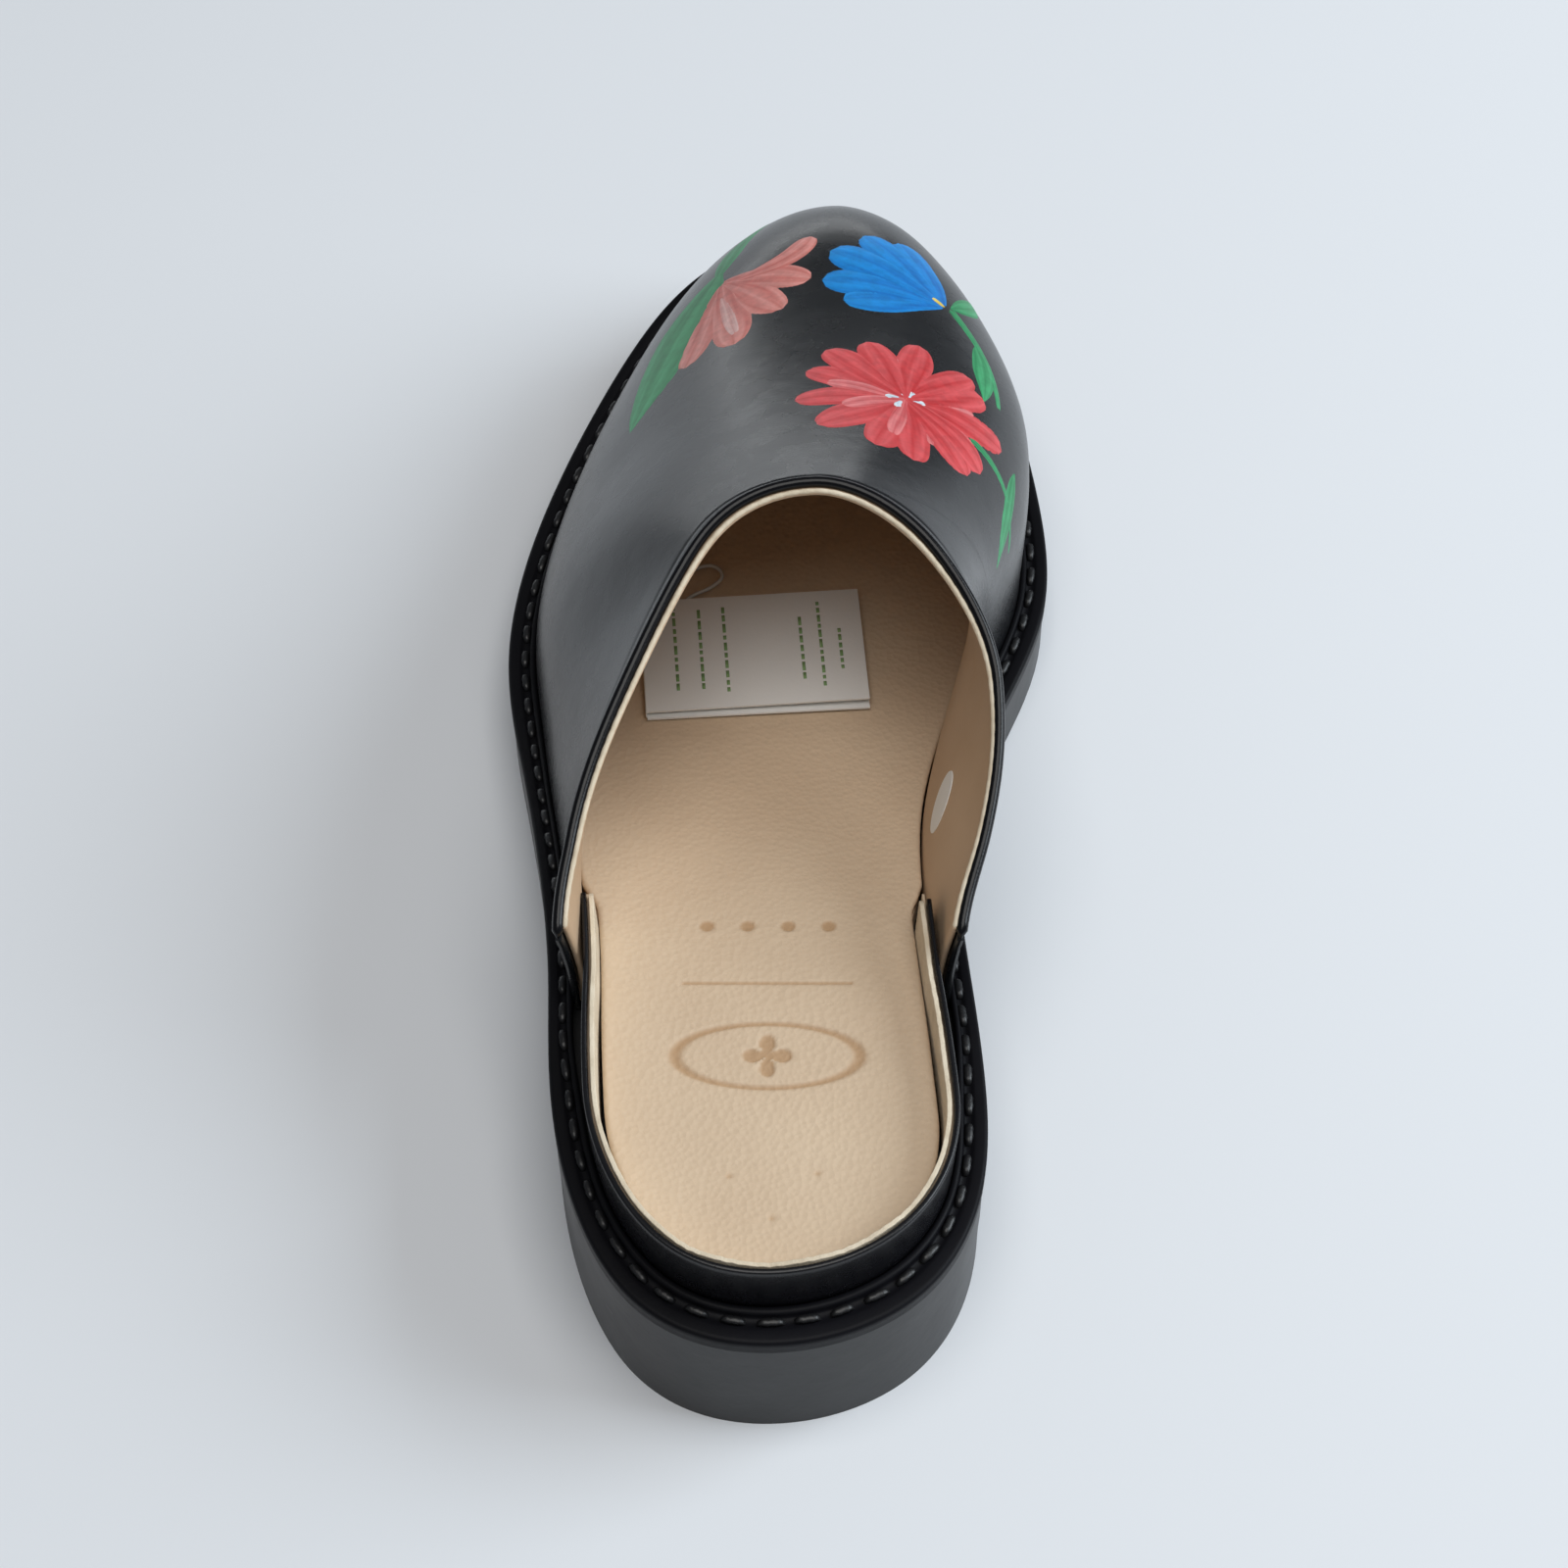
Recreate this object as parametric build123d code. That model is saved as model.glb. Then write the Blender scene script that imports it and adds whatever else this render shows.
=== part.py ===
from build123d import *
import math
import os

# Left-foot welted mule: closed almond toe, open back with a low heel rim,
# stitched welt all round, layered sole with a low heel.
# +Y runs heel to toe, +X is the inner (medial) side, +Z is up. Millimetres.

# ------------------------------------------------------------------ sizes
outsole_t = 7.0          # outsole thickness
midsole_t = 5.0          # midsole under the welt
welt_t = 3.0             # flat flange of the welt
heel_rise = 13.0         # height of the outsole's underside at the heel seat
top_piece_t = 6.0        # wear layer under the heel
tread_start_y = 18.0     # flat tread under the ball, rear end
tread_end_y = 54.0       # flat tread under the ball, front end
seat_front_y = -75.0     # the heel seat is level behind this
toe_spring = 9.0         # rise of the underside at the toe_end_y station
toe_end_y = 132.0
breast_y = -70.0         # front face of the heel

feather_in = 5.3         # upper's foot, in from the welt's edge
rear_extra = 1.2         # the welt is this much wider round the back
waist_less = 1.1         # and this much narrower along the waist
sole_in = 0.35           # sole wall, in from the welt's edge
groove_in = 2.2          # outer side of the stitch groove, in from the welt's edge
stitch_in = 3.2          # stitch line
bead_in = 4.2            # inner side of the groove, where the raised bead starts
bead_h = 1.0             # bead, above the welt
groove_depth = 0.5
stitch_w = 1.5
stitch_l = 4.3
stitch_h = 0.9
stitch_pitch = 6.0

leather_t = 1.2
backer_t = 0.4
lining_t = 0.9
wall_t = leather_t + backer_t + lining_t
bead_out = 0.35          # binding stands this proud of the vamp

cork_t = 2.0
board_t = 2.5
foam_t = 2.0
sock_t = 1.4
base_h = outsole_t + midsole_t
welt_h = base_h + welt_t
cork_h = base_h + cork_t
board_h = cork_h + board_t
foam_h = board_h + foam_t
sock_h = foam_h + sock_t

throat_y = 6.3           # front end of the foot opening
throat_z = 79.8
tail_y = -66.0           # rear end of the vamp's tails
lining_back_y = -63.0    # rear end of the vamp's lining
rim_front_y = -52.0      # front end of the heel rim, tucked inside the vamp
rim_h = 12.0             # heel rim, above the welt
rim_flare = 0.05         # outward lean of the rim, per millimetre of height
rim_leather_t = 1.02
rim_board_in = 1.1       # stiffener and lining of the rim, in from the upper's line
rim_lining_in = 1.5
rim_inner_in = 2.3
tip_round_y = 84.0       # the toe box starts to close here

shank_t = 1.2            # spring steel strip in the waist
nail_r = 0.9             # heel nails
nail_l = 7.4

sticker_t = 0.12         # oval sticker on the lining, inner side
sticker_at = (22.0, -32.0, 39.0)
sticker_axes = (5.6, 3.6)
sticker_turn = 145.0

tag_w = 41.0             # folded card, closed
tag_d = 27.5
leaf_t = 0.4
tag_gap = 1.3            # height of the upper leaf's underside at the fold
tag_at = (-5.6, 16.4)
tag_turn = 4.0
loop_d = 0.7             # nylon loop on the hang tag

# Welt edge, seen from above, from the toe tip down the outer side and back up the inner side.
edge_points = [
    (9, 128.5), (-8, 124.5), (-24, 110.5), (-38, 83.5), (-48, 53), (-52, 22), (-48.2, -6), (-43.5, -34),
    (-40.5, -62), (-38, -93), (-25.5, -123), (-2, -132.5), (20.5, -124.5), (32, -106), (33.8, -82),
    (31.5, -52), (32, -20), (41, 9), (49.9, 35), (49.5, 64), (43, 93), (28, 118),
]


def ease(a, b, y):
    """0 before a, 1 after b, smooth between."""
    t = min(1.0, max(0.0, (y - a) / (b - a)))
    return t * t * (3 - 2 * t)


def along(table, y):
    """Value at y on the smooth curve through a short list of (y, value) pairs, level at both ends."""
    if y <= table[0][0]:
        return table[0][1]
    if y >= table[-1][0]:
        return table[-1][1]
    i = max(k for k, pair in enumerate(table) if pair[0] <= y)
    (y0, v0), (y1, v1) = table[i], table[i + 1]
    h = y1 - y0
    t = (y - y0) / h
    m0 = (v1 - table[i - 1][1]) / (y1 - table[i - 1][0]) if i > 0 else 0.0
    m1 = (table[i + 2][1] - v0) / (table[i + 2][0] - y0) if i + 2 < len(table) else 0.0
    rise = t * t * (3 - 2 * t)
    return v0 + (v1 - v0) * rise + h * m0 * t * (1 - t) ** 2 - h * m1 * t * t * (1 - t)


def closed_curve(points, per_span):
    """Points and inward unit normals on the smooth closed curve through the given points."""
    n = len(points)
    ctrl = [list(p) for p in points]
    for _ in range(60):
        for i in range(n):
            for k in (0, 1):
                ctrl[i][k] = (6 * points[i][k] - ctrl[i - 1][k] - ctrl[(i + 1) % n][k]) / 4
    out = []
    for i in range(n):
        a, b, c, d = ctrl[i - 1], ctrl[i], ctrl[(i + 1) % n], ctrl[(i + 2) % n]
        for j in range(per_span):
            t = j / per_span
            w = ((1 - t) ** 3, 3 * t ** 3 - 6 * t * t + 4, -3 * t ** 3 + 3 * t * t + 3 * t + 1, t ** 3)
            v = (-(1 - t) ** 2, 3 * t * t - 4 * t, -3 * t * t + 2 * t + 1, t * t)
            p = [sum(w[m] * q[k] for m, q in enumerate((a, b, c, d))) / 6 for k in (0, 1)]
            g = [sum(v[m] * q[k] for m, q in enumerate((a, b, c, d))) / 2 for k in (0, 1)]
            size = math.hypot(g[0], g[1])
            out.append((p[0], p[1], -g[1] / size, g[0] / size))
    return out


edge = closed_curve(edge_points, 12)


def no_extra(y):
    return 0.0


def inset(depth, extra=no_extra):
    """The welt edge moved inward by depth, and by what the welt is wider behind or narrower at the waist."""
    share = min(1.0, depth / feather_in)
    out = []
    for x, y, nx, ny in edge:
        rear = rear_extra * (1 - ease(-130, -104, y))
        waist = waist_less * ease(-92, -70, y) * (1 - ease(-20, 12, y))
        d = depth + share * (rear - waist) + extra(y)
        out.append((x + nx * d, y + ny * d))
    return out


def underside(y):
    """Height of the outsole's underside."""
    if y > tread_end_y:
        return toe_spring * ((y - tread_end_y) / (toe_end_y - tread_end_y)) ** 2
    return heel_rise * (1 - ease(seat_front_y, tread_start_y, y))


def side_x(points, y):
    """Outermost x on the outer and inner side of a closed line at the station y."""
    xs = []
    for (x0, y0), (x1, y1) in zip(points, points[1:] + points[:1]):
        if (y0 - y) * (y1 - y) <= 0 and y0 != y1:
            xs.append(x0 + (x1 - x0) * (y - y0) / (y1 - y0))
    return min(xs), max(xs)


# ------------------------------------------------------------------ sole tools
def side_curve(h):
    """Side profile of the sole, h above the underside, as edges in the YZ plane."""
    y1, y2, y3, y4 = seat_front_y, tread_start_y, tread_end_y, toe_end_y
    s1 = (y2 - y1) / 3
    s2 = (y4 - y3) / 3
    z1 = heel_rise + h
    return [
        Line((0, -150, z1), (0, y1, z1)),
        Bezier((0, y1, z1), (0, y1 + s1, z1), (0, y2 - s1, h), (0, y2, h)),
        Line((0, y2, h), (0, y3, h)),
        Bezier((0, y3, h), (0, y3 + s2, h), (0, y3 + 2 * s2, h + toe_spring / 3), (0, y4, h + toe_spring)),
    ]


def band(h0, h1):
    """Everything between two heights above the underside, across the whole width."""
    low = side_curve(h0)
    high = side_curve(h1)
    ends = [
        Line((0, -150, heel_rise + h0), (0, -150, heel_rise + h1)),
        Line((0, toe_end_y, toe_spring + h0), (0, toe_end_y, toe_spring + h1)),
    ]
    face = Face(Wire(low + high + ends))
    return extrude(Pos(-80, 0, 0) * face, amount=160, dir=(1, 0, 0))


def prism(points, z0=-20.0, z1=80.0, every=4):
    """Upright solid over a closed line."""
    face = Face(Wire([Spline([(x, y, z0) for x, y in points[::every]], periodic=True)]))
    return extrude(face, amount=z1 - z0, dir=(0, 0, 1))


def slab(points, h0, h1):
    return prism(points) & band(h0, h1)


# ------------------------------------------------------------------ upper surface
outer_bulge = [(-72, 16), (-50, 5), (-28, -2.4), (-8, -4.5), (14, -1.5), (45, -3.2), (100, -1.5)]
inner_bulge = [(-72, 8), (-50, 17), (-26, 15), (-4, 9), (24, 5.5), (60, 7.5), (105, 3)]
ridge_x = [(-70, 5), (10, 5.8), (60, 8.6), (120, 10.5)]


def ridge_z(y):
    bend = 0.0017 if y > throat_y else -0.003
    return throat_z - 0.45 * (y - throat_y) + bend * (y - throat_y) ** 2


class Shell:
    """The upper's surface, moved inward by t."""

    def __init__(self, t):
        self.t = t
        self.line = inset(feather_in + t)
        self.tip = max(p[1] for p in self.line)

    def frame(self, y):
        left, right = side_x(self.line, y)
        foot = underside(y) + welt_h
        u = max(0.0, (y - tip_round_y) / (self.tip - tip_round_y))
        close = (1 - u ** 2.5) ** (1 / 2.5)
        rise = (ridge_z(y) - self.t - foot) * close
        return left, right, foot, rise, along(ridge_x, y), close

    def at(self, y, turn):
        """turn runs from 0 at the outer foot to 180 at the inner foot."""
        left, right, foot, rise, mid, close = self.frame(y)
        a = math.radians(turn)
        puff = math.sin(2 * a) ** 2 * close
        if turn <= 90:
            x = mid + (left - mid) * math.cos(a) ** 1.06 - along(outer_bulge, y) * puff
        else:
            x = mid + (right - mid) * abs(math.cos(a)) ** 0.95 + along(inner_bulge, y) * puff
        return (x, y, foot + rise * math.sin(a))

    def section(self, y):
        arch = [self.at(y, turn) for turn in (0, 11, 23, 36, 50, 70, 90, 110, 130, 144, 157, 169, 180)]
        low = arch[0][2] - 8
        a = (arch[0][0], y, low)
        b = (arch[-1][0], y, low)
        return Face(Wire([Spline(arch), Line(arch[-1], b), Line(b, a), Line(a, arch[0])]))

    def solid(self):
        ys = [-90, -76, -62, -48, -34, -20, -6, 8, 24, 42, 60, 76, 88, 97]
        last = ys[-1]
        ys += [last + (self.tip - last) * math.sin(math.radians(d)) for d in (28, 46, 60, 71, 79, 85)]
        return loft([self.section(y) for y in ys])


def topline(y):
    """Height of the foot opening's edge in side view."""
    return throat_z + 0.479 * (y - throat_y) + 0.0003 * (y - throat_y) ** 2


def below_topline(drop, back_y):
    """Everything the vamp may fill: under the foot opening's edge and ahead of the tails' rear edge."""
    stations = [back_y + 2 + (28 - back_y) * k / 4 for k in range(5)]
    top = [(0, y, topline(y) - drop) for y in stations]
    pts = [(0, back_y - 4, 0), (0, 140, 0), (0, 140, 120), (0, 50, 120)]
    lines = [Line(p, q) for p, q in zip(pts, pts[1:])]
    lines.append(Line(pts[-1], top[-1]))
    lines.append(Spline(top))
    lines.append(Line(top[0], pts[0]))
    face = Face(Wire(lines))
    return extrude(Pos(-80, 0, 0) * face, amount=160, dir=(1, 0, 0))


def edge_strip(width):
    """Everything within a width below the foot opening's edge in side view."""
    stations = [tail_y + (30 - tail_y) * k / 4 for k in range(5)]
    top = [(0, y, topline(y)) for y in stations]
    low = [(0, y, topline(y) - width) for y in stations]
    face = Face(Wire([Spline(top), Line(top[-1], low[-1]), Spline(low), Line(low[0], top[0])]))
    return extrude(Pos(-80, 0, 0) * face, amount=160, dir=(1, 0, 0))


def block(x0, x1, y0, y1, z0, z1):
    return Pos((x0 + x1) / 2, (y0 + y1) / 2, (z0 + z1) / 2) * Box(x1 - x0, y1 - y0, z1 - z0)


def biggest(shape):
    return max(shape.solids(), key=lambda s: s.volume)


nodes = {}


# ------------------------------------------------------------------ upper
def make_upper():
    bind = Shell(-bead_out).solid()
    s0 = Shell(0).solid()
    s1 = Shell(leather_t).solid()
    s2 = Shell(leather_t + backer_t).solid()
    s3 = Shell(wall_t).solid()
    above = band(base_h, 140)
    skin_room = below_topline(2.2, tail_y) & above
    backer_room = below_topline(2.2, lining_back_y) & above
    lining_room = below_topline(0.9, lining_back_y) & above
    nodes["vamp"] = biggest((s0 & skin_room) - s1)
    layer = (s1 & backer_room) - s2
    nodes["toe_puff"] = biggest(layer & block(-80, 80, tip_round_y, 140, -10, 120))
    nodes["vamp_backer"] = biggest(layer & block(-80, 80, -90, tip_round_y, -10, 120))
    nodes["vamp_lining"] = biggest((s2 & lining_room) - s3)
    nodes["topline_binding"] = biggest((bind & edge_strip(2.2)) - s2)
    oval = Rot(0, 90, 0) * Rot(0, 0, sticker_turn) * extrude(Ellipse(*sticker_axes), amount=30)
    spot = Pos(*sticker_at) * oval
    s4 = Shell(wall_t + sticker_t).solid()
    nodes["inspection_sticker"] = biggest((s3 - s4) & spot)


# ------------------------------------------------------------------ heel rim
def rim_extra(y):
    """The rim's front ends step inward to pass inside the vamp's tails."""
    return (wall_t + 0.3) * ease(-100, -66, y)


def rim_face(depth, z):
    points = inset(depth, rim_extra)
    return Face(Wire([Spline([(x, y, z) for x, y in points[::3]], periodic=True)]))


def rim_body(depth):
    foot = heel_rise + welt_h
    z0 = foot - 12
    z1 = foot + rim_h + 6
    return loft([rim_face(depth + 12 * rim_flare, z0), rim_face(depth - (z1 - foot) * rim_flare, z1)])


def rim_region(drop, front_y):
    z = heel_rise + welt_h + rim_h - drop
    top = [(0, -150, z), (0, -118, z), (0, -95, z - 0.4), (0, front_y, z + 0.8)]
    lines = [Line((0, -150, 0), (0, front_y, 0)), Line((0, front_y, 0), top[-1])]
    lines += [Spline(top[1:]), Line(top[1], top[0]), Line(top[0], (0, -150, 0))]
    return extrude(Pos(-80, 0, 0) * Face(Wire(lines)), amount=160, dir=(1, 0, 0))


def make_rim():
    r0 = rim_body(feather_in + rim_board_in - rim_leather_t)
    r1 = rim_body(feather_in + rim_board_in)
    r2 = rim_body(feather_in + rim_lining_in)
    r3 = rim_body(feather_in + rim_inner_in)
    above = band(base_h, 140)
    nodes["heel_rim"] = biggest((r0 - r1) & rim_region(0, rim_front_y) & above)
    nodes["rim_stiffener"] = biggest((r1 - r2) & rim_region(1.6, rim_front_y) & above)
    nodes["rim_lining"] = biggest((r2 - r3) & rim_region(0.5, rim_front_y) & above)


# ------------------------------------------------------------------ footbed
def bed_extra(y):
    """The footbed narrows where the rim's front ends lie inside the vamp."""
    return 2.4 * ease(-102, -69, y) * (1 - ease(-50, -42, y))


def make_footbed():
    line = inset(feather_in + wall_t + 0.5, bed_extra)
    shank = block(-8, 4, -78, 12, -10, 120) & band(base_h + 0.4, base_h + 0.4 + shank_t)
    nodes["shank"] = biggest(shank)
    nodes["cork_filler"] = biggest(slab(line, base_h, cork_h) - shank)
    nodes["insole_board"] = biggest(slab(line, cork_h, board_h))
    nodes["sock_foam"] = biggest(slab(line, board_h, foam_h))
    nodes["sock_liner"] = biggest(slab(line, foam_h, sock_h))


# ------------------------------------------------------------------ welt and sole
def make_sole():
    outer = prism(inset(0))
    inner = prism(inset(feather_in - 0.05))
    ring = (outer - inner) & band(base_h, welt_h + bead_h)
    groove = (prism(inset(groove_in)) - prism(inset(bead_in))) & band(welt_h - groove_depth, 40)
    flange = (outer - prism(inset(groove_in))) & band(welt_h, 40)
    nodes["welt"] = biggest(ring - groove - flange)
    wall = inset(sole_in)
    nodes["midsole"] = biggest(slab(wall, outsole_t, base_h))
    nodes["outsole"] = biggest(slab(wall, 0, outsole_t))
    heel = prism(inset(sole_in + 0.2)) & block(-80, 80, -150, breast_y, 0, heel_rise)
    breast_r = 60
    heel = heel - Pos(-3, breast_y + breast_r - 4, 0) * Cylinder(breast_r, 60)
    nails = nail_set(5, 24, 30, top_piece_t - 3.2)
    lift = heel & block(-80, 80, -150, 0, top_piece_t, heel_rise) & band(-30, 0)
    cap = heel & block(-80, 80, -150, 0, 0, top_piece_t)
    for nail in nails:
        lift = lift - nail
        cap = cap - nail
    nodes["heel_block"] = biggest(lift)
    nodes["top_piece"] = biggest(cap)
    nodes["heel_nails"] = Compound(nails)


def nail_set(count, rx, ry, z0):
    """Nails on a horseshoe inside the heel, through the joint of the top piece and the heel block."""
    out = []
    for i in range(count):
        a = math.radians(200 + 140 * i / (count - 1))
        x = -2 + rx * math.cos(a)
        y = -98 + ry * math.sin(a)
        out.append(Pos(x, y, z0 + nail_l / 2) * Cylinder(nail_r, nail_l))
    return out


def make_stitches():
    """One row of thread stitches in the welt's groove, all the way round."""
    points = inset(stitch_in)
    gaps = [math.dist(p, q) for p, q in zip(points, points[1:] + points[:1])]
    total = sum(gaps)
    count = round(total / stitch_pitch)
    out = []
    walked = 0.0
    k = 0
    for i in range(count):
        want = (i + 0.5) * total / count
        while walked + gaps[k] < want:
            walked += gaps[k]
            k += 1
        p, q = points[k], points[(k + 1) % len(points)]
        f = (want - walked) / gaps[k]
        x, y = p[0] + (q[0] - p[0]) * f, p[1] + (q[1] - p[1]) * f
        turn = math.degrees(math.atan2(q[1] - p[1], q[0] - p[0]))
        slope = (underside(y + 0.5) - underside(y - 0.5)) * math.sin(math.radians(turn))
        z = underside(y) + welt_h - groove_depth + stitch_h / 2 + 0.17
        tip = math.degrees(math.atan(slope))
        out.append(Pos(x, y, z) * Rot(0, 0, turn) * Rot(0, -tip, 0) * Box(stitch_l, stitch_w, stitch_h))
    nodes["welt_stitches"] = Compound(out)


# ------------------------------------------------------------------ hang tag
def on_sock(x, y, lift):
    return (x, y, underside(y) + sock_h + lift)


def make_tag():
    """Folded card lying on the sock under the throat, its fold on the outer side."""
    lower = Pos(0, 0, leaf_t / 2) * Box(tag_w, tag_d, leaf_t)
    hinge = Pos(-tag_w / 2, 0, tag_gap)
    upper = hinge * Rot(0, -1.0, 0) * Pos(tag_w / 2, 0.3, leaf_t / 2) * Box(tag_w, tag_d, leaf_t)
    fold_h = tag_gap + leaf_t
    fold = Pos(-tag_w / 2 + leaf_t / 2, 0.1, fold_h / 2) * Box(leaf_t, tag_d - 0.2, fold_h)
    x, y = tag_at
    lean = math.degrees(math.atan((underside(y + 8) - underside(y - 8)) / 16))
    place = Pos(on_sock(x, y, 0.75)) * Rot(lean, 0, 0) * Rot(0, 0, tag_turn)
    nodes["hang_tag"] = biggest(place * (lower + upper + fold))


def make_loop():
    """Nylon loop: both ends are caught between the card's leaves."""
    plan = [(-23.5, 24.5), (-22.2, 29.5), (-20.2, 34.5), (-17.2, 38.6), (-13.2, 39.6),
            (-11.2, 36.4), (-14, 33.4), (-17.6, 31.4), (-19.6, 28), (-20.2, 24.5)]
    lifts = [1.55, 1.5, 0.9, 0.6, 0.6, 0.6, 0.6, 0.9, 1.5, 1.55]
    points = [Vector(*on_sock(x, y, lift)) for (x, y), lift in zip(plan, lifts)]
    runs = [q - p for p, q in zip(points, points[1:])]
    radii = []
    for a, b in zip(runs, runs[1:]):
        half = math.radians(a.get_angle(b)) / 2
        radii.append(0.45 * min(a.length, b.length) / math.tan(half))
    print("loop radii", [round(r, 1) for r in radii])
    path = FilletPolyline(*points, radius=radii)
    end = Plane(origin=path @ 0, z_dir=path % 0)
    tube = sweep(end * Circle(loop_d / 2), path=path)
    print("loop length", round(path.length, 1), "tube", round(tube.volume / (math.pi * loop_d ** 2 / 4), 1))
    nodes["tag_loop"] = biggest(tube)


def main():
    make_sole()
    make_stitches()
    make_footbed()
    make_rim()
    make_upper()
    make_tag()
    make_loop()
    lo = [1e9, 1e9, 1e9]
    hi = [-1e9, -1e9, -1e9]
    for shape in nodes.values():
        box = shape.bounding_box()
        for k, (a, b) in enumerate(zip(box.min, box.max)):
            lo[k] = min(lo[k], a)
            hi[k] = max(hi[k], b)
    move = Pos(-(lo[0] + hi[0]) / 2, -(lo[1] + hi[1]) / 2, -lo[2])
    print("size", [round(b - a, 2) for a, b in zip(lo, hi)])
    print("shift", [round((a + b) / 2, 3) for a, b in zip(lo, hi)])
    os.makedirs("parts", exist_ok=True)
    for name, shape in nodes.items():
        export_step(move * shape, "parts/" + name + ".step")
        print(name, round(shape.volume, 1))


main()
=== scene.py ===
import bpy
import bmesh
import math
import random
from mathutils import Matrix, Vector
from mathutils.bvhtree import BVHTree


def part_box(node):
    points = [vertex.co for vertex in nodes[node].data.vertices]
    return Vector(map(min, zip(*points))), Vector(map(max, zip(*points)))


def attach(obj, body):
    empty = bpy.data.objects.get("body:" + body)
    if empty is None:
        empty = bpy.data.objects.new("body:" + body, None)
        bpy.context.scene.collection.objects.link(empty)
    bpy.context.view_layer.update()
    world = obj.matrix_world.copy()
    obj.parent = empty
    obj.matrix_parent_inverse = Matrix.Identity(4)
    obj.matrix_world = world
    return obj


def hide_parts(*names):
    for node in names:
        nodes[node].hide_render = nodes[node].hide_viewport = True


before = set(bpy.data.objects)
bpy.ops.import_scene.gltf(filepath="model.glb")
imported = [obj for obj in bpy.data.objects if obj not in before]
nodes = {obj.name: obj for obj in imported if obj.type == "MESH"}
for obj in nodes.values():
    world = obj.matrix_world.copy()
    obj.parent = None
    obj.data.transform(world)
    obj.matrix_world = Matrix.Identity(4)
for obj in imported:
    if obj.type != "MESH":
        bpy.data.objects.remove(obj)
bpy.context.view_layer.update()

random.seed(11)

# ---------------------------------------------------------------- sizes, mm
MM = 1000
# heights above the underside: the welt's top, its base and the sock's top
WELT_H, BASE_H, SOCK_H = 15.0, 12.0, 19.9
HEEL_RISE, TOE_SPRING = 13.0, 9.0
# the upper stands in from the welt's edge, more at the heel and less at the waist
FEATHER, REAR, WAIST = 5.3, 1.2, 1.1
HEEL_ROUND, WAIST_STARTS, WAIST_ENDS = (-130, -104), (-92, -70), (-20, 12)
# the middle of the throat, the vamp's rear ends and the rim's front ends
THROAT_Y, THROAT_Z, TAIL_Y, RIM_Y = 6.3, 79.8, -66.0, -52.0
# the foot opening climbs toward the throat, the ridge falls from it toward the toe
OPENING_RISE, OPENING_BEND = 0.479, 0.0003
RIDGE_FALL, RIDGE_BEND, RIDGE_BEND_BEHIND = 0.45, 0.0017, -0.003
WALL = 2.5
RIM_H = 12.0
# the underside rises behind the tread to the heel seat, and ahead of it to the toe
SEAT_Y, TREAD0, TREAD1, TOE_END = -75.0, 18.0, 54.0, 132.0
# the upper rounds down ahead of the first, and is closed over the toes ahead of the second
TIP_ROUND, CLOSED_Y = 84.0, 40.0
TIP_POWER, OUTER_POWER, INNER_POWER = 2.5, 1.06, 0.95
# the welt's outer edge in plan, from the toe along the outer side, round the heel and back
EDGE = [
    (9, 128.5), (-8, 124.5), (-24, 110.5), (-38, 83.5), (-48, 53), (-52, 22), (-48.2, -6), (-43.5, -34),
    (-40.5, -62), (-38, -93), (-25.5, -123), (-2, -132.5), (20.5, -124.5), (32, -106), (33.8, -82),
    (31.5, -52), (32, -20), (41, 9), (49.9, 35), (49.5, 64), (43, 93), (28, 118),
]
# how far the wall bulges past an ellipse, and where the ridge runs, by y
OUTER_BULGE = [(-72, 16), (-50, 5), (-28, -2.4), (-8, -4.5), (14, -1.5), (45, -3.2), (100, -1.5)]
INNER_BULGE = [(-72, 8), (-50, 17), (-26, 15), (-4, 9), (24, 5.5), (60, 7.5), (105, 3)]
RIDGE_X = [(-70, 5), (10, 5.8), (60, 8.6), (120, 10.5)]


def ease(a, b, y):
    """A smooth step from 0 at a to 1 at b."""
    t = min(1.0, max(0.0, (y - a) / (b - a)))
    return t * t * (3 - 2 * t)


def along(table, y):
    """A smooth curve through the table's (y, value) pairs, flat beyond its ends."""
    if y <= table[0][0]:
        return table[0][1]
    if y >= table[-1][0]:
        return table[-1][1]
    i = max(k for k, pair in enumerate(table) if pair[0] <= y)
    (y0, v0), (y1, v1) = table[i], table[i + 1]
    h = y1 - y0
    t = (y - y0) / h
    m0 = (v1 - table[i - 1][1]) / (y1 - table[i - 1][0]) if i > 0 else 0.0
    m1 = (table[i + 2][1] - v0) / (table[i + 2][0] - y0) if i + 2 < len(table) else 0.0
    rise = t * t * (3 - 2 * t)
    return v0 + (v1 - v0) * rise + h * m0 * t * (1 - t) ** 2 - h * m1 * t * t * (1 - t)


def closed_curve(points, per_span):
    """A closed cubic spline through the points, as (x, y, inward x, inward y)."""
    n = len(points)
    settle = 60
    ctrl = [list(p) for p in points]
    for _ in range(settle):
        for i in range(n):
            for k in (0, 1):
                ctrl[i][k] = (6 * points[i][k] - ctrl[i - 1][k] - ctrl[(i + 1) % n][k]) / 4
    out = []
    for i in range(n):
        q = (ctrl[i - 1], ctrl[i], ctrl[(i + 1) % n], ctrl[(i + 2) % n])
        for j in range(per_span):
            t = j / per_span
            w = ((1 - t) ** 3, 3 * t ** 3 - 6 * t * t + 4, -3 * t ** 3 + 3 * t * t + 3 * t + 1, t ** 3)
            v = (-(1 - t) ** 2, 3 * t * t - 4 * t, -3 * t * t + 2 * t + 1, t * t)
            p = [sum(w[m] * q[m][k] for m in range(4)) / 6 for k in (0, 1)]
            g = [sum(v[m] * q[m][k] for m in range(4)) / 2 for k in (0, 1)]
            s = math.hypot(g[0], g[1])
            out.append((p[0], p[1], -g[1] / s, g[0] / s))
    return out


EDGE_CURVE = closed_curve(EDGE, 20)


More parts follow.
